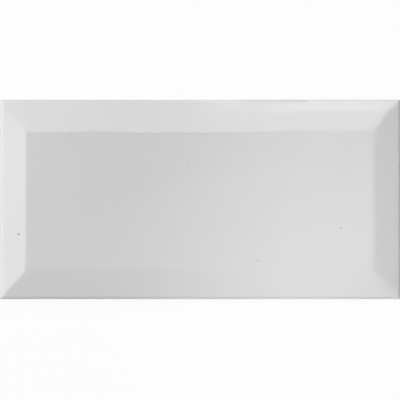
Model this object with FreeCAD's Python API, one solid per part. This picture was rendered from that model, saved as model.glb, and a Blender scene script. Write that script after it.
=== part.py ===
import FreeCAD, Part
import math
import os

# Bevelled subway wall tile, one piece of pressed and glazed ceramic.
# It lies on its keyed back with the glazed face up: +X along its length, +Y to the edge with the wider bevel.
# The origin is the centre of the back, level with the crests of the ribs. Sizes are in millimetres and degrees.

# Outline and section. An edge height runs from the rib crests to the line where the bevel
# would meet the upright edge if nothing were rounded.
length = 199.0  # work size of the nominal 200 x 100 format, which leaves 1 mm for the joint
width = 99.0
thickness = 8.0  # rib crests to the flat field
edge_height = 4.5  # left, right and lower edges
bevel_width = 13.3  # left, right and lower bevels, seen square on
upper_edge_rise = 0.5  # the upper edge stands this much higher than the other three
upper_bevel_width = 16.0  # so this bevel is wider and shallower than the others

# How far the glaze softens each kind of line
field_radius = 7.5  # between the field and a bevel
mitre_radius = 7.0  # between two bevels
edge_radius = 2.0  # between a bevel and the left, right or lower edge
upper_edge_radius = 1.2  # between the upper bevel and the upper edge
corner_radius = 0.6  # between two upright edges
back_chamfer = 0.4  # around the back

# Pressed key on the back: pockets inside a flat rim, with crossing ribs left between them
rim_width = 4.5
rib_width = 1.6
key_pitch = 11.35  # smallest distance from one rib to the next
pocket_depth = 0.7
pocket_draft = 30.0  # lean of the pocket walls


def section(side, low_end, high_end):
    """Outline of the tile cut across one side; each end is its edge height and its bevel width."""
    half = side / 2
    low_height, low_bevel = low_end
    high_height, high_bevel = high_end
    return [
        (-half, 0),
        (half, 0),
        (half, high_height),
        (half - high_bevel, thickness),
        (-half + low_bevel, thickness),
        (-half, low_height),
    ]


def prism(corners, run):
    """The solid that a closed outline sweeps along a straight run."""
    return Part.Face(Part.makePolygon(corners + corners[:1])).extrude(run)


def bevelled_block():
    """The tile with every line sharp: the part that its two sections, swept through each other, share."""
    plain = (edge_height, bevel_width)
    upper = (edge_height + upper_edge_rise, upper_bevel_width)
    lengthways = prism(
        [FreeCAD.Vector(x, -width / 2, z) for x, z in section(length, plain, plain)],
        FreeCAD.Vector(0, width, 0),
    )
    crossways = prism(
        [FreeCAD.Vector(-length / 2, y, z) for y, z in section(width, plain, upper)],
        FreeCAD.Vector(length, 0, 0),
    )
    return lengthways.common(crossways).removeSplitter()


def level(first, second):
    return abs(first - second) < 1e-6


def softening(edge):
    """The radius that the glaze gives one line of the sharp block, or 0 for a line of the back."""
    start, end = edge.Vertexes[0].Point, edge.Vertexes[-1].Point
    low, high = sorted((start.z, end.z))
    if level(high, 0):
        return 0
    if level(low, 0):
        return corner_radius
    if level(low, thickness):
        return field_radius
    if level(start.y, width / 2) and level(end.y, width / 2):
        return upper_edge_radius
    if level(start.y, -width / 2) and level(end.y, -width / 2):
        return edge_radius
    if level(abs(start.x), length / 2) and level(start.x, end.x):
        return edge_radius
    return mitre_radius


def soften(block):
    """Rounds every line of the face and of the upright edges together, then breaks the line around the back."""
    drawing = FreeCAD.newDocument("tile")
    sharp = drawing.addObject("Part::Feature", "sharp_tile")
    sharp.Shape = block
    rounded = drawing.addObject("Part::Fillet", "rounded_tile")
    rounded.Base = sharp
    radii = [softening(edge) for edge in block.Edges]
    rounded.Edges = [(number, radius, radius) for number, radius in enumerate(radii, start=1) if radius]
    drawing.recompute()
    soft = rounded.Shape.Solids[0]
    back_lines = [edge for edge in soft.Edges if all(level(end.Z, 0) for end in edge.Vertexes)]
    return soft.makeChamfer(back_chamfer, back_lines)


def key_layout(side):
    """How many pockets fit between the rims along one side, and the distance from one to the next."""
    span = side - 2 * rim_width + rib_width
    count = max(1, math.floor(span / key_pitch))
    return count, span / count


def press_stud(stud_length, stud_width):
    """The stud of the press that leaves one pocket: full size at the back, narrower at its tip."""
    lean = pocket_depth * math.tan(math.radians(pocket_draft))
    stud = Part.makeWedge(
        0, 0, 0, lean, lean,
        stud_length, pocket_depth, stud_width, stud_width - lean, stud_length - lean,
    )
    stud.rotate(FreeCAD.Vector(0, 0, 0), FreeCAD.Vector(1, 0, 0), 90)
    stud.translate(FreeCAD.Vector(-stud_length / 2, stud_width / 2, 0))
    return stud


def key_pockets():
    """Every pocket of the back, laid out evenly about its centre."""
    columns, pitch_x = key_layout(length)
    rows, pitch_y = key_layout(width)
    stud = press_stud(pitch_x - rib_width, pitch_y - rib_width)
    places = [
        FreeCAD.Vector((column - (columns - 1) / 2) * pitch_x, (row - (rows - 1) / 2) * pitch_y, 0)
        for column in range(columns)
        for row in range(rows)
    ]
    return Part.makeCompound([stud.translated(place) for place in places])


def make_tile():
    return soften(bevelled_block()).cut(key_pockets()).Solids[0]


os.makedirs("parts", exist_ok=True)
make_tile().exportStep("parts/tile.step")
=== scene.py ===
import math

import bpy
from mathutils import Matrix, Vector


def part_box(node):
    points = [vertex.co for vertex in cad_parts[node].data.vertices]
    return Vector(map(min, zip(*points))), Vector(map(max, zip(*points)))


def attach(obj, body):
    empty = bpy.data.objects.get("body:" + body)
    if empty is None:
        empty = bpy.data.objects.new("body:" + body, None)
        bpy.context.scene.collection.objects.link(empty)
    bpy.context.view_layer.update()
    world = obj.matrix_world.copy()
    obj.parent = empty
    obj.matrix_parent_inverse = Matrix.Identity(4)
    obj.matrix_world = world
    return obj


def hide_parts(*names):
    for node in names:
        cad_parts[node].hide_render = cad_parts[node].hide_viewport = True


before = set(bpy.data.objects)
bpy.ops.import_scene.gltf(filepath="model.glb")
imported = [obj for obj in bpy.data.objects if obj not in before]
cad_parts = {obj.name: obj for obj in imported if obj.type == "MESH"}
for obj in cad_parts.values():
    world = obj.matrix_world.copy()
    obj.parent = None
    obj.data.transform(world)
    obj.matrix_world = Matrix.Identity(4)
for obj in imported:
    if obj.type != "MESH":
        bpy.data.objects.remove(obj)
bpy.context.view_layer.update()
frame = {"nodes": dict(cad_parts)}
print("frame loaded:", ", ".join(frame["nodes"]))


class Wire:
    # an output socket that can stand in an expression: each operation adds the Math node for it

    def __init__(self, bench, node, socket):
        self.bench = bench
        self.node = node
        self.socket = socket

    def out(self, name):
        return Wire(self.bench, self.node, self.node.outputs[name])

    def math(self, operation, *values, clamp=False):
        settings = {"operation": operation, "use_clamp": clamp}
        return self.bench.add("ShaderNodeMath", settings, dict(enumerate(values)))

    def __add__(self, other):
        return self.math("ADD", self, other)

    def __radd__(self, other):
        return self.math("ADD", other, self)

    def __sub__(self, other):
        return self.math("SUBTRACT", self, other)

    def __rsub__(self, other):
        return self.math("SUBTRACT", other, self)

    def __mul__(self, other):
        return self.math("MULTIPLY", self, other)

    def __rmul__(self, other):
        return self.math("MULTIPLY", other, self)

    def __truediv__(self, other):
        return self.math("DIVIDE", self, other)

    def __rtruediv__(self, other):
        return self.math("DIVIDE", other, self)

    def __mod__(self, other):
        return self.math("FLOORED_MODULO", self, other)

    def __abs__(self):
        return self.math("ABSOLUTE", self)

    def clamped(self):
        return self.math("ADD", self, 0, clamp=True)

    def floor(self):
        return self.math("FLOOR", self)

    def root(self):
        return self.math("SQRT", self)

    def sine(self):
        return self.math("SINE", self)

    def cosine(self):
        return self.math("COSINE", self)

    def sign(self):
        return self.math("SIGN", self)

    def rounded(self):
        return self.math("ROUND", self)

    def least(self, other):
        return self.math("MINIMUM", self, other)

    def most(self, other):
        return self.math("MAXIMUM", self, other)

    def softLeast(self, other, softness):
        return self.math("SMOOTH_MIN", self, other, softness)

    def above(self, limit):
        return self.math("GREATER_THAN", self, limit)

    def ramp(self, low, high):
        # 0 at low, 1 at high, easing in and out between them
        easing = {"interpolation_type": "SMOOTHSTEP"}
        ends = {"Value": self, "From Min": low, "From Max": high}
        return self.bench.add("ShaderNodeMapRange", easing, ends)


class Bench:
    # a node tree in the making

    def __init__(self, tree):
        self.tree = tree

    def add(self, kind, settings=None, inputs=None):
        # settings come first, because they change which sockets a node has
        node = self.tree.nodes.new(kind)
        for name, value in (settings or {}).items():
            setattr(node, name, value)
        for name, value in (inputs or {}).items():
            if isinstance(value, Wire):
                self.tree.links.new(value.socket, node.inputs[name])
            else:
                node.inputs[name].default_value = value
        shown = [socket for socket in node.outputs if socket.enabled]
        return Wire(self, node, shown[0] if shown else None)


# the tile's shape, in millimetres

tileShape = {
    "Edge height": 4.5,
    "Bevel width": 13.3,
    "Lower bevel width": 13.7,
    "Upper edge rise": 0.55,
    "Upper bevel width": 16.0,
    # in the right half the upper bevel leans over further towards its edge
    "Upper lean": 0.1,  # rise per millimetre that this adds
    "Upper lean width": 5.6,
    "Upper lean spread": 2.6,  # how much wider it is where it starts
    "Upper lean softness": 0.22,
    "Upper sag": 0.07,  # how far the middle of the upper bevel lies lower
    "Lower right drop": 0.7,  # how far the lower bevel lies lower at that corner
    "Field softness": 0.36,
    "Lower field softness": 0.66,
    "Upper left field softness": 0.22,
    "Upper right field softness": 1.3,
    "Mitre softness": 0.85,
    "Upper left mitre softness": 2.4,
    "Lower right mitre softness": 1.1,
    # the glazed edge turns tightly out of the wall, and then widely into the bevel
    "Tight edge radius": 1.5,
    "Tight right edge radius": 2.4,
    "Tight upper edge radius": 0.7,
    "Tight edge turn": 45.0,
    "Left edge radius": 4.4,
    "Right edge radius": 1.5,
    "Lower edge radius": 2.9,
    "Upper edge radius": 0.6,
    "Corner radius": 0.6,
    "Back chamfer": 0.4,
    "Field line band": 3.2,  # the strip of closer rows along the outline of the field
    # the key of the back: pockets inside a flat rim, with ribs between them
    "Rim width": 4.5,
    "Rib width": 1.6,
    "Pocket depth": 0.7,
    "Pocket lean": 0.4,
    "Pocket lean margin": 0.1,  # how far beyond a pocket's leaning wall its rows of faces stand
    "Pocket corner radius": 1.2,
    # the glaze, which ends part of the way down the edge
    "Glaze thickness": 0.14,
    "Glaze line height": 1.5,
    "Glaze line wander": 0.55,
    "Glaze line wander length": 6.25,
    "Glaze line softness": 0.12,
    "Glaze wave height": 0.035,
    "Glaze wave length": 34.0,
}
# where the forms that aren't the same all over the tile set in or stop
stretches = {
    # in lengths of the tile from its middle
    "lean sets in": (-0.06, 0.04),
    "lean is full": (0.17, 0.28),
    "sag sets in": (-0.2, -0.185),
    "sag stops": (0.085, 0.1),
    # in widths of the tile from its middle
    "upper field line": (0.27, 0.33),
    "lower field line": (-0.2, -0.36),
    # from the height of the field, 0, down to that of the edge, 1
    "mitres soften": (0.0, 0.4),
}
pocketsAlong, pocketsAcross = 16, 8
# rows of faces for each stretch of the surface: those in from the edge, and those up the section
faceRows = {"corner": 4, "rim": 3, "rib to rib": 10}
sectionRows = {"foot": 3, "wall": 14, "rounding": 12, "bevel": 12, "field line": 8}
perMetre = 1000
aLittle = 0.001  # keeps a softness or a divisor above zero


def climb(steps, stages):
    # passes through the stages one after another, each a number of rows and what they add
    total, start = 0, 0
    for rows, rise in stages:
        total = ((steps - start) / rows).clamped() * rise + total
        start += rows
    return total


def makeTileTree():
    tree = bpy.data.node_groups.new("tileFromItsRule", "GeometryNodeTree")
    sockets = tree.interface
    for name in ("Length", "Width", "Thickness", *tileShape):
        sockets.new_socket(name, in_out="INPUT", socket_type="NodeSocketFloat")
    sockets.new_socket("Material", in_out="INPUT", socket_type="NodeSocketMaterial")
    sockets.new_socket("Geometry", in_out="OUTPUT", socket_type="NodeSocketGeometry")
    bench = Bench(tree)
    given = bench.add("NodeGroupInput")
    names = [socket.name for socket in sockets.items_tree if socket.in_out == "INPUT"]
    size = {name: given.out(name) for name in names}

    # a box of square faces, each row of which gets its place on the tile below
    edgeRows = faceRows["corner"] + faceRows["rim"]
    rowsAlong = 2 * edgeRows + pocketsAlong * faceRows["rib to rib"]
    rowsAcross = 2 * edgeRows + pocketsAcross * faceRows["rib to rib"]
    rowsUp = sum(sectionRows.values())
    box = bench.add("GeometryNodeMeshCube", {}, {
        "Size": (rowsAlong, rowsAcross, rowsUp),
        "Vertices X": rowsAlong + 1,
        "Vertices Y": rowsAcross + 1,
        "Vertices Z": rowsUp + 1,
    })
    spot = bench.add("ShaderNodeSeparateXYZ", {}, {0: bench.add("GeometryNodeInputPosition")})
    up = (spot.out("Z") + rowsUp / 2).rounded()

    # from one rib of the key to the next
    def pitchOf(side, pockets):
        return (side - size["Rim width"] * 2 + size["Rib width"]) / pockets

    # for each column: its side of the middle, its place from 0 to 1 on the way out to the corner,
    # and from there on its place from 0 to 1 on the way round it
    def columnsOf(axis, rows, side, pockets):
        place = spot.out(axis)
        count = (rows / 2 - abs(place)).rounded()  # from the nearer edge
        pitch = pitchOf(side, pockets)
        ribEdge = size["Rib width"] * 0.5 - size["Pocket lean margin"]
        wallHalf = size["Pocket lean"] * 0.5 + size["Pocket lean margin"]
        beside = size["Rib width"] * 0.5
        middle = pitch * 0.5 - ribEdge - wallHalf * 2 - beside
        inCell = (count - edgeRows).most(0)
        across = climb(inCell % faceRows["rib to rib"], [
            (1, ribEdge), (1, wallHalf), (1, wallHalf), (1, beside), (1, middle),
            (1, middle), (1, beside), (1, wallHalf), (1, wallHalf), (1, ribEdge),
        ])
        cells = (inCell / faceRows["rib to rib"]).floor() * pitch
        ribCentre = size["Rim width"] - size["Rib width"] * 0.5
        inset = climb(count, [
            (faceRows["corner"], size["Corner radius"]),
            (faceRows["rim"], ribCentre - size["Corner radius"] - size["Back chamfer"]),
        ])
        half = side * 0.5
        straight = half - size["Back chamfer"] - size["Corner radius"]
        fraction = (half - size["Back chamfer"] - inset - cells - across) / straight
        return place.sign(), fraction.least(1), (1 - count / faceRows["corner"]).clamped()

    signX, fractionX, cornerX = columnsOf("X", rowsAlong, size["Length"], pocketsAlong)
    signY, fractionY, cornerY = columnsOf("Y", rowsAcross, size["Width"], pocketsAcross)
    onTop = up.above(rowsUp - 0.5)
    onBack = 1 - up.above(0.5)
    isUpper = signY.above(0)
    isRight = signX.above(0)

    # the four bevels as planes, by their rise per millimetre
    slope = (size["Thickness"] - size["Edge height"]) / size["Bevel width"]
    lowerSlope = (size["Thickness"] - size["Edge height"]) / size["Lower bevel width"]
    upperEdge = size["Edge height"] + size["Upper edge rise"]
    upperSlope = (size["Thickness"] - upperEdge) / size["Upper bevel width"]

    # for each row up the section: how much of one stage lies below it, from 0 to 1
    stages = list(sectionRows)

    def partOf(name):
        start = sum(sectionRows[stage] for stage in stages[:stages.index(name)])
        return ((up - start) / sectionRows[name]).clamped()

    footTurn = partOf("foot") * (math.pi / 2)
    wallPart = partOf("wall")
    turn = partOf("rounding")
    bevelPart = partOf("bevel")
    linePart = partOf("field line")

    # how far in from the outline a row stands, and how far under the plane of the bevel
    def roundedEdge(tight, wide, rise, span):
        change = size["Tight edge turn"] * (math.pi / 180)
        whole = math.pi / 2 - rise.math("ARCTANGENT", rise)
        first, later = (turn * whole).least(change), (turn * whole).most(change)
        inward = tight * (1 - first.cosine()) + wide * (change.cosine() - later.cosine())
        upward = tight * first.sine() + wide * (later.sine() - change.sine())
        wholeInward = tight * (1 - change.cosine()) + wide * (change.cosine() - whole.cosine())
        wholeUpward = tight * change.sine() + wide * (whole.sine() - change.sine())
        foot = size["Back chamfer"] * (1 - footTurn.sine())
        bevel = (span - size["Field line band"] * 0.5 - wholeInward) * bevelPart
        under = wholeUpward - upward - rise * (wholeInward - inward)
        return foot + inward + bevel + linePart * size["Field line band"], under

    # the second value where the pick is 1, and the first where it is 0
    def choose(pick, second, first):
        return first + (second - first) * pick

    radiusX = choose(isRight, size["Right edge radius"], size["Left edge radius"])
    radiusY = choose(isUpper, size["Upper edge radius"], size["Lower edge radius"])
    tightX = choose(isRight, size["Tight right edge radius"], size["Tight edge radius"])
    tightY = choose(isUpper, size["Tight upper edge radius"], size["Tight edge radius"])
    riseY = choose(isUpper, upperSlope, lowerSlope)
    spanY = choose(isUpper, size["Upper bevel width"], size["Lower bevel width"])
    insetX, underX = roundedEdge(tightX, radiusX, slope, size["Bevel width"])
    insetY, underY = roundedEdge(tightY, radiusY, riseY, spanY)

    # the square of rows at a corner is laid over a quarter of a circle
    cornerHalfX = size["Length"] * 0.5 - insetX - size["Corner radius"]
    cornerHalfY = size["Width"] * 0.5 - insetY - size["Corner radius"]
    roundX = cornerX * (1 - cornerY * cornerY * 0.5).root()
    roundY = cornerY * (1 - cornerX * cornerX * 0.5).root()
    x = signX * (fractionX * cornerHalfX + size["Corner radius"] * roundX)
    y = signY * (fractionY * cornerHalfY + size["Corner radius"] * roundY)

    # heights of the sloping planes over each place, the lowest of which is the surface
    fromLeft = x + size["Length"] * 0.5
    fromRight = size["Length"] * 0.5 - x
    fromLower = y + size["Width"] * 0.5
    fromUpper = size["Width"] * 0.5 - y
    leftPlane = size["Edge height"] + slope * fromLeft
    rightPlane = size["Edge height"] + slope * fromRight
    nearRight = (1 - fromRight / size["Bevel width"]).ramp(0.0, 1.0)
    lowerPlane = size["Edge height"] + lowerSlope * fromLower - size["Lower right drop"] * nearRight
    along = x / size["Length"]
    leanFull = along.ramp(*stretches["lean is full"])
    leanShare = along.ramp(*stretches["lean sets in"]) * 0.5 + leanFull * 0.5
    leanWidth = size["Upper lean width"] + size["Upper lean spread"] * (1 - leanFull)
    sagging = along.ramp(*stretches["sag sets in"]) * (1 - along.ramp(*stretches["sag stops"]))
    upperPlane = upperEdge + upperSlope * fromUpper - size["Upper sag"] * sagging
    leaning = upperPlane - size["Upper lean"] * leanShare * (leanWidth - fromUpper)
    upperPlane = upperPlane.softLeast(leaning, size["Upper lean softness"] * leanShare + aLittle)
    endBevels = leftPlane.least(rightPlane)
    sideBevels = lowerPlane.least(upperPlane)
    # two of the mitres are softer than the others, though not where they meet the field
    fall = size["Thickness"] - size["Edge height"]
    howLow = (size["Thickness"] - endBevels.least(sideBevels)) / fall
    softer = howLow.ramp(*stretches["mitres soften"])
    upperLeft = softer * isUpper * (1 - isRight)
    lowerRight = softer * isRight * (1 - isUpper)
    mitre = choose(upperLeft, size["Upper left mitre softness"], size["Mitre softness"])
    mitre = choose(lowerRight, size["Lower right mitre softness"], mitre)
    bevels = endBevels.softLeast(sideBevels, mitre)
    # the outline of the field is not as soft on one side as on another
    upwards = y / size["Width"]
    isLine = upwards.ramp(*stretches["upper field line"])
    upperSoftness = choose(leanFull, size["Upper right field softness"], size["Upper left field softness"])
    softness = choose(isLine, upperSoftness, size["Field softness"])
    isLine = upwards.ramp(*stretches["lower field line"])
    softness = choose(isLine, size["Lower field softness"], softness)
    plane = bevels.softLeast(size["Thickness"], softness)

    # slow waves in the glaze, which only ever take height away
    place = bench.add("ShaderNodeCombineXYZ", {}, {"X": x, "Y": y, "Z": 0.0})
    wave = bench.add("ShaderNodeTexNoise", {}, {
        "Vector": place, "Scale": 1 / size["Glaze wave length"], "Detail": 1.5, "Roughness": 0.4,
    })
    face = plane - size["Glaze wave height"] * wave

    # the wall under the rounding, shared out between its sides around a corner
    ySide = roundY * roundY
    aroundCorner = roundX * roundX + ySide
    ofY = ySide / aroundCorner.most(aLittle)
    wallTop = face - choose(ofY, underY, underX)
    footHeight = size["Back chamfer"] * (1 - footTurn.cosine())
    side = footHeight + (wallTop - size["Back chamfer"]) * wallPart
    height = choose(onTop, face, side)

    # pockets of the key, on the back only: how far in from a rib a place lies along one axis
    def intoPocket(coordinate, side, pockets):
        pitch = pitchOf(side, pockets)
        start = side * -0.5 + size["Rim width"] - size["Rib width"] * 0.5
        past = (coordinate - start) % pitch
        return past.least(pitch - past) - size["Rib width"] * 0.5

    # 1 where the pockets are, 0 on the rim, beyond the walls of the outermost ones
    def insideRim(coordinate, side):
        beyond = 0.3
        return (side * 0.5 - size["Rim width"] + beyond - abs(coordinate)).above(0)

    depthX = intoPocket(x, size["Length"], pocketsAlong)
    depthY = intoPocket(y, size["Width"], pocketsAcross)
    radius = size["Pocket corner radius"]
    nearX = (radius - depthX).most(0)
    nearY = (radius - depthY).most(0)
    intoWall = (radius - (nearX * nearX + nearY * nearY).root()).least(depthX.least(depthY))
    ease = size["Pocket lean margin"] * 0.5
    pocket = size["Pocket depth"] * intoWall.ramp(ease * -1, size["Pocket lean"] + ease)
    pocket = pocket * insideRim(x, size["Length"]) * insideRim(y, size["Width"])
    height = choose(onBack, pocket, height)

    # the glaze ends part of the way down the edge, and from there on the bare body stands back a little;
    # its noise is read at another height than that of the waves
    around = bench.add("ShaderNodeCombineXYZ", {}, {"X": x, "Y": y, "Z": 7.0})
    wander = bench.add("ShaderNodeTexNoise", {}, {
        "Vector": around, "Scale": 1 / size["Glaze line wander length"], "Detail": 3.0, "Roughness": 0.6,
    })
    # the noise strays about a quarter from its middle, and times 4 that is the whole wander
    line = size["Glaze line height"] + (wander - 0.5) * 4 * size["Glaze line wander"]
    fade = size["Glaze line softness"]
    cover = choose(onTop, 1, (height - line).ramp(fade * -1, fade)) * (1 - onBack)
    standBack = size["Glaze thickness"] * (1 - cover)
    x = x - signX * standBack * roundX
    y = y - signY * standBack * roundY

    laid = bench.add("GeometryNodeSetPosition", {}, {
        "Geometry": box,
        "Position": bench.add("ShaderNodeCombineXYZ", {}, {
            "X": x / perMetre, "Y": y / perMetre, "Z": height / perMetre,
        }),
    })
    covered = bench.add("GeometryNodeStoreNamedAttribute", {"data_type": "FLOAT", "domain": "POINT"}, {
        "Geometry": laid, "Name": "glazeCover", "Value": cover,
    })
    smooth = bench.add("GeometryNodeSetShadeSmooth", {}, {"Geometry": covered, "Shade Smooth": True})
    real = bench.add("GeometryNodeRealizeInstances", {}, {"Geometry": smooth})
    painted = bench.add("GeometryNodeSetMaterial", {}, {"Geometry": real, "Material": size["Material"]})
    bench.add("NodeGroupOutput", {}, {"Geometry": painted})
    return tree


def makeTile(material):
    low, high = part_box("tile")
    whole = (high - low) * perMetre
    tree = makeTileTree()
    seed = bpy.data.objects.new("tileSeed", bpy.data.meshes.new("tileSeed"))
    bpy.context.scene.collection.objects.link(seed)
    builder = seed.modifiers.new("tileFromItsRule", "NODES")
    builder.node_group = tree
    values = dict(tileShape, Length=whole.x, Width=whole.y, Thickness=whole.z, Material=material)
    for socket in tree.interface.items_tree:
        if socket.in_out == "INPUT":
            builder[socket.identifier] = values[socket.name]
    depsgraph = bpy.context.evaluated_depsgraph_get()
    made = bpy.data.meshes.new_from_object(seed.evaluated_get(depsgraph))
    bpy.data.objects.remove(seed)
    made.name = "glazedTile"
    tile = bpy.data.objects.new("glazed_tile", made)
    bpy.context.scene.collection.objects.link(tile)
    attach(tile, "root")
    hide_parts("tile")
    print("tile made:", len(made.polygons), "faces")
    return tile


# glaze and bare body; lengths in metres

glazeLook = {
    "white": (0.72, 0.72, 0.72, 1.0),
    "cloud": (0.70, 0.70, 0.70, 1.0),  # the darker tone of the glaze: where it lies a little thinner, and in the darker patch
    "cloud size": 0.022,
    "cloud spread": (0.35, 0.7),
    "cloud share": 0.4,
    "darker patch": (-36.0, 26.0, 52.0),  # a broad darker patch: its place and radius in millimetres
    "patch share": 1.4,
    "pale spot": (0.9, 0.9, 0.9, 1.0),
    "mark": (0.03, 0.03, 0.03, 1.0),
    "face starts": (0.0035, 0.004),  # the height above which the glaze has its marks
    "roughness": 0.08,
    "dull": 0.03,  # how much rougher the dullest places are
    "dull size": 0.03,
    "ripple size": 0.007,
    "ripple height": 0.000006,
    # the last of the glaze, where the body shows through it, as parts of its cover
    "thin line": (0.63, 0.60, 0.55, 1.0),
    "thins out": (0.6, 1.0),
    "ends": (0.05, 0.5),
}
bodyLook = {
    "clay": (0.60, 0.545, 0.47, 1.0),
    "pale clay": (0.69, 0.645, 0.575, 1.0),
    "mottle size": 0.013,
    "mottle spread": (0.3, 0.7),
    "mottle share": 0.7,
    "mottle height": 0.00002,
    "grain size": 0.00045,
    "grain share": 0.3,
    "grain height": 0.00003,
    "iron": (0.26, 0.17, 0.11, 1.0),
    "iron spacing": 0.0045,
    "iron radius": (0.03, 0.09),  # in spacings, from where a speck is darkest to where it ends
    "iron rarity": 0.62,
    "iron strength": 0.7,
    "wash": (0.79, 0.775, 0.745, 1.0),  # the chalky kiln wash on the crests of the ribs
    "wash height": (0.00003, 0.00025),
    "wash streak size": 0.006,
    "wash streak spread": (0.34, 0.62),
    "wash strength": 0.85,
    "roughness": 0.86,
}
# marks in the glaze: place on the face and radius in millimetres, how dark, how deep
marks = {
    "bevelSpeck": (-89.95, -17.15, 0.56, 0.92, 0.5),
    "fieldPinhole": (-6.45, 16.7, 0.46, 0.36, 0.7),
    "rimmedPit": (69.95, -13.9, 0.36, 0.75, 1.0),
    "lowerSpeck": (28.8, -30.4, 0.42, 0.6, 0.6),
    "upperDot": (77.9, 37.8, 0.26, 0.35, 0.5),
    "cornerSmudge": (96.3, -41.0, 2.8, 0.045, 0.0),
    # lumps and two dents along the upper line of the field
    "firstLump": (-80.6, 32.7, 1.4, 0.0, -0.7),
    "secondLump": (-65.9, 32.7, 1.7, 0.0, -1.1),
    "thirdLump": (-55.0, 34.9, 1.4, 0.0, -1.1),
    "fourthLump": (-15.9, 34.9, 1.7, 0.0, -0.9),
    "fifthLump": (67.2, 33.0, 1.5, 0.0, -0.8),
    "firstDent": (-25.1, 33.0, 0.9, 0.0, 0.6),
    "secondDent": (6.7, 33.0, 0.9, 0.0, 0.6),
}
# pale spots beside two of the marks: place, radius, how pale; beside the pit it is a painted highlight on its
# raised rim
paleSpots = {"pitHighlight": (71.0, -13.2, 0.8, 0.5), "speckPaleSpot": (28.8, -31.2, 0.35, 0.6)}
smears = {
    "upperSmear": {"from": (79.2, 39.1), "to": (81.2, 38.8), "radius": 0.45, "dark": 0.06},
    # a darker line along part of the upper line of the field
    "darkerFieldLine": {"from": (-38.3, 32.3), "to": (18.4, 32.3), "radius": 0.9, "dark": 0.035},
    # painted shade along a stretch of the upper edge, darker in two places in it
    "upperEdgeShade": {"from": (21.5, 49.0), "to": (52.5, 49.0), "radius": 2.0, "dark": 0.085},
    "firstEdgeShade": {"from": (25.2, 49.2), "to": (30.6, 49.2), "radius": 1.2, "dark": 0.05},
    "secondEdgeShade": {"from": (40.5, 49.2), "to": (53.2, 49.2), "radius": 1.2, "dark": 0.06},
}
markDepth = 0.00012
# where each kind fades, in radii from its middle
fades = {"dark": (0.45, 1.0), "deep": (0.2, 1.3), "pale": (0.3, 1.0), "smear": (0.2, 1.0)}


def mixColours(bench, share, first, second):
    # 6 and 7 are the two colours of a Mix node, and 2 is their mixture
    return bench.add("ShaderNodeMix", {"data_type": "RGBA"}, {"Factor": share, 6: first, 7: second}).out(2)


def noise(bench, place, size, detail=2.0, roughness=0.5):
    # about 0 to 1, with features as large as the size given
    return bench.add("ShaderNodeTexNoise", {}, {
        "Vector": place, "Scale": 1 / size, "Detail": detail, "Roughness": roughness,
    })


def within(acrossX, acrossY, radius, fade):
    # 1 in the middle of a mark, 0 from its edge on
    return 1 - ((acrossX * acrossX + acrossY * acrossY).root() / radius).ramp(*fade)


def makeMarks(x, y):
    # how dark, how pale and how deep each place of the glaze is
    dark, pale, deep = 0, 0, 0
    for markX, markY, radius, darkness, depth in marks.values():
        if darkness:
            dark = within(x - markX, y - markY, radius, fades["dark"]) * darkness + dark
        if depth:
            deep = within(x - markX, y - markY, radius, fades["deep"]) * depth + deep
    for paleX, paleY, radius, paleness in paleSpots.values():
        pale = within(x - paleX, y - paleY, radius, fades["pale"]) * paleness + pale
    # smears: a dark streak, a darker line along the upper line of the field, and painted shade along the
    # upper edge
    for smear in smears.values():
        fromX, fromY = smear["from"]
        runX, runY = smear["to"][0] - fromX, smear["to"][1] - fromY
        share = (((x - fromX) * runX + (y - fromY) * runY) / (runX ** 2 + runY ** 2)).clamped()
        acrossX, acrossY = x - fromX - share * runX, y - fromY - share * runY
        dark = within(acrossX, acrossY, smear["radius"], fades["smear"]) * smear["dark"] + dark
    return dark, pale, deep


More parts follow.
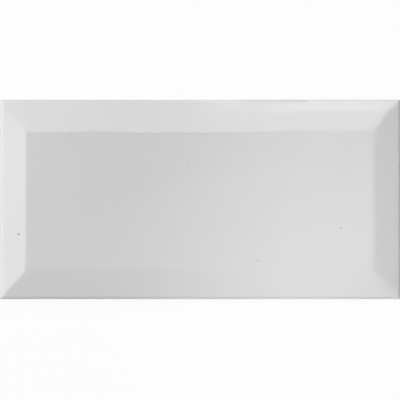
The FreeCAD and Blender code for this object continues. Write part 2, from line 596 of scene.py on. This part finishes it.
def makeTileMaterial():
    material = bpy.data.materials.new("glazedCeramic")
    material.use_nodes = True
    tree = material.node_tree
    tree.nodes.clear()
    bench = Bench(tree)
    place = bench.add("ShaderNodeTexCoord").out("Object")
    spot = bench.add("ShaderNodeSeparateXYZ", {}, {0: place})
    cover = bench.add("ShaderNodeAttribute", {"attribute_name": "glazeCover"}).out("Fac")
    onFace = spot.out("Z").ramp(*glazeLook["face starts"])

    # white glaze, a little cloudy and darker in one broad patch, with its marks, painted shade along the
    # upper edge and a painted highlight beside the pit
    x, y = spot.out("X") * perMetre, spot.out("Y") * perMetre
    patchX, patchY, patchRadius = glazeLook["darker patch"]
    patch = within(x - patchX, y - patchY, patchRadius, (0.0, 1.0)) * glazeLook["patch share"]
    cloud = noise(bench, place, glazeLook["cloud size"], 3.0).ramp(*glazeLook["cloud spread"])
    cloud = cloud * glazeLook["cloud share"] + patch
    glaze = mixColours(bench, cloud, glazeLook["white"], glazeLook["cloud"])
    dark, pale, deep = makeMarks(x, y)
    # the pale spots, one of them a painted highlight on the rim of the pit
    glaze = mixColours(bench, pale * onFace, glaze, glazeLook["pale spot"])
    glaze = mixColours(bench, dark * onFace, glaze, glazeLook["mark"])

    # bare body: mottled clay with iron specks, and kiln wash on the ribs
    mottle = noise(bench, place, bodyLook["mottle size"], 4.0, 0.6).ramp(*bodyLook["mottle spread"])
    grain = noise(bench, place, bodyLook["grain size"], 2.0, 0.7)
    paleness = mottle * bodyLook["mottle share"] + grain * bodyLook["grain share"]
    clay = mixColours(bench, paleness, bodyLook["clay"], bodyLook["pale clay"])
    cells = bench.add("ShaderNodeTexVoronoi", {}, {"Vector": place, "Scale": 1 / bodyLook["iron spacing"]})
    chance = bench.add("ShaderNodeSeparateColor", {}, {0: cells.out("Color")}).out("Red")
    iron = (1 - cells.out("Distance").ramp(*bodyLook["iron radius"])) * chance.above(bodyLook["iron rarity"])
    clay = mixColours(bench, iron * bodyLook["iron strength"], clay, bodyLook["iron"])
    streaks = noise(bench, place, bodyLook["wash streak size"], 3.0, 0.7)
    streaks = streaks.ramp(*bodyLook["wash streak spread"])
    crest = 1 - spot.out("Z").ramp(*bodyLook["wash height"])
    clay = mixColours(bench, crest * streaks * bodyLook["wash strength"], clay, bodyLook["wash"])

    # the glaze thins out where it ends
    edge = cover.ramp(*glazeLook["ends"])
    glaze = mixColours(bench, cover.ramp(*glazeLook["thins out"]), glazeLook["thin line"], glaze)
    colour = mixColours(bench, edge, clay, glaze)
    dull = noise(bench, place, glazeLook["dull size"]) * glazeLook["dull"]
    roughness = bodyLook["roughness"] + edge * (glazeLook["roughness"] + dull - bodyLook["roughness"])

    ripple = noise(bench, place, glazeLook["ripple size"], 1.0) * glazeLook["ripple height"]
    glazeHeight = ripple - deep * onFace * markDepth
    bodyHeight = grain * bodyLook["grain height"] + mottle * bodyLook["mottle height"]
    height = bodyHeight + edge * (glazeHeight - bodyHeight)
    relief = bench.add("ShaderNodeBump", {}, {"Height": height, "Strength": 1.0, "Distance": 1.0})
    surface = bench.add("ShaderNodeBsdfPrincipled", {}, {
        "Base Color": colour, "Roughness": roughness, "IOR": 1.5, "Normal": relief,
    })
    bench.add("ShaderNodeOutputMaterial", {}, {"Surface": surface})
    return material


tile = makeTile(makeTileMaterial())


# floor, background and lights

studio = {
    "floor size": 8.0,
    "floor colour": (0.9, 0.9, 0.9, 1.0),
    "white share": 0.93,  # how much of the floor's look is plain white, over its shadows
    "daylight": 0.1,
    "spot distance": 0.6,
}


def seenDirectly(bench):
    # 1 for the rays that show the background, 0 for those that light the tile
    path = bench.add("ShaderNodeLightPath")
    seen = path.out("Is Camera Ray")
    for name in ("Is Glossy Ray", "Is Transmission Ray"):
        seen = seen.most(path.out(name))
    return seen


def makeFloor():
    half = studio["floor size"] / 2
    corners = [(-half, -half, 0), (half, -half, 0), (half, half, 0), (-half, half, 0)]
    shape = bpy.data.meshes.new("floor")
    shape.from_pydata(corners, [], [(0, 1, 2, 3)])
    floor = bpy.data.objects.new("floor", shape)
    bpy.context.scene.collection.objects.link(floor)
    material = bpy.data.materials.new("whiteFloor")
    material.use_nodes = True
    material.node_tree.nodes.clear()
    bench = Bench(material.node_tree)
    lit = bench.add("ShaderNodeBsdfDiffuse", {}, {"Color": studio["floor colour"]})
    white = bench.add("ShaderNodeEmission", {}, {"Color": (1, 1, 1, 1), "Strength": 1.0})
    share = seenDirectly(bench) * studio["white share"]
    mixed = bench.add("ShaderNodeMixShader", {}, {0: share, 1: lit, 2: white})
    bench.add("ShaderNodeOutputMaterial", {}, {"Surface": mixed})
    shape.materials.append(material)


def makeWorld():
    world = bpy.data.worlds.new("studioWorld")
    bpy.context.scene.world = world
    world.use_nodes = True
    world.node_tree.nodes.clear()
    bench = Bench(world.node_tree)
    seen = seenDirectly(bench)
    strength = studio["daylight"] + seen * (1 - studio["daylight"])
    background = bench.add("ShaderNodeBackground", {}, {"Color": (1, 1, 1, 1), "Strength": strength})
    bench.add("ShaderNodeOutputWorld", {}, {"Surface": background})


# "from" is the lamp's azimuth, counted from +X towards +Y, and its elevation, in degrees; "away" is
# its distance in metres from the place that it points at, which is the middle of the tile or "aim"
softboxes = {
    # the left softbox only lights; two more on that side only show, in the gloss of the bevel and the rim
    "leftSoftbox": {"from": (175, 35), "away": 1.5, "side": 1.8, "power": 19.0, "shows": False},
    "bevelGloss": {"from": (175, 45), "away": 1.5, "side": 1.8, "tall": 1.15, "power": 11.8, "lights": False},
    "rimGloss": {"from": (175, 9), "away": 1.5, "side": 1.8, "tall": 0.45, "power": 5.5, "lights": False},
    "farSoftbox": {"from": (90, 48), "away": 1.35, "side": 1.38, "power": 9.5},
    "nearSoftbox": {"from": (270, 40), "away": 1.4, "side": 1.2, "power": 2.3},
    # shows only in the part of the upper bevel that leans over further
    "gleamSoftbox": {"from": (90, 57), "aim": (0.04, 0.045), "away": 1.0, "side": 0.19, "power": 0.19},
}
spots = {
    "wideSpot": {"from": (240, 40), "aim": (0.065, -0.035), "cone": 14, "blur": 0.06, "power": 3.4},
    "narrowSpot": {"from": (255, 40), "aim": (0.076, -0.036), "cone": 12, "blur": 0.08, "power": 4.6},
    "highSpot": {"from": (235, 72), "aim": (0.065, -0.03), "cone": 13, "blur": 0.06, "power": 1.3},
    "lowSpot": {"from": (262, 30), "aim": (-0.016, -0.075), "cone": 9, "blur": 0.06, "power": 1.7},
}


def placeLamp(name, light, look):
    azimuth, elevation = (math.radians(angle) for angle in look["from"])
    level = math.cos(elevation)
    towards = Vector((math.cos(azimuth) * level, math.sin(azimuth) * level, math.sin(elevation)))
    light.energy = look["power"]
    lamp = bpy.data.objects.new(name, light)
    aim = Vector((*look.get("aim", (0.0, 0.0)), high.z))
    lamp.location = aim + towards * look.get("away", studio["spot distance"])
    lamp.rotation_euler = towards.to_track_quat("Z", "Y").to_euler()
    lamp.visible_camera = False
    lamp.visible_glossy = look.get("shows", True)
    lamp.visible_diffuse = look.get("lights", True)
    bpy.context.scene.collection.objects.link(lamp)


def makeLamps():
    for name, look in softboxes.items():
        light = bpy.data.lights.new(name, "AREA")
        light.shape = "RECTANGLE"
        light.size = look["side"]
        light.size_y = look.get("tall", look["side"])
        placeLamp(name, light, look)
    for name, look in spots.items():
        light = bpy.data.lights.new(name, "SPOT")
        light.spot_size = math.radians(look["cone"])
        light.spot_blend = 1.0
        light.shadow_soft_size = look["blur"]
        placeLamp(name, light, look)


low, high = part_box("tile")
makeFloor()
makeWorld()
makeLamps()
print("studio made:", len(softboxes) + len(spots), "lamps")


# the camera looks straight down, and the tile fills the width of the frame

view = {
    "lens": 500.0,
    "sensor": 36.0,
    "widest height": 0.003,  # where the outline of the tile is widest
    "middle": -0.00025,  # the tile sits half a pixel above the middle of the frame
    "share": 0.9985,  # how much of the tile's length the frame takes in
}
lens = bpy.data.cameras.new("camera")
lens.lens = view["lens"]
lens.sensor_width = view["sensor"]
camera = bpy.data.objects.new("camera", lens)
distance = (high.x - low.x) * view["share"] * view["lens"] / view["sensor"]
camera.location = (0, view["middle"], view["widest height"] + distance)
bpy.context.scene.collection.objects.link(camera)
bpy.context.scene.camera = camera
bpy.context.scene.view_settings.view_transform = "Standard"
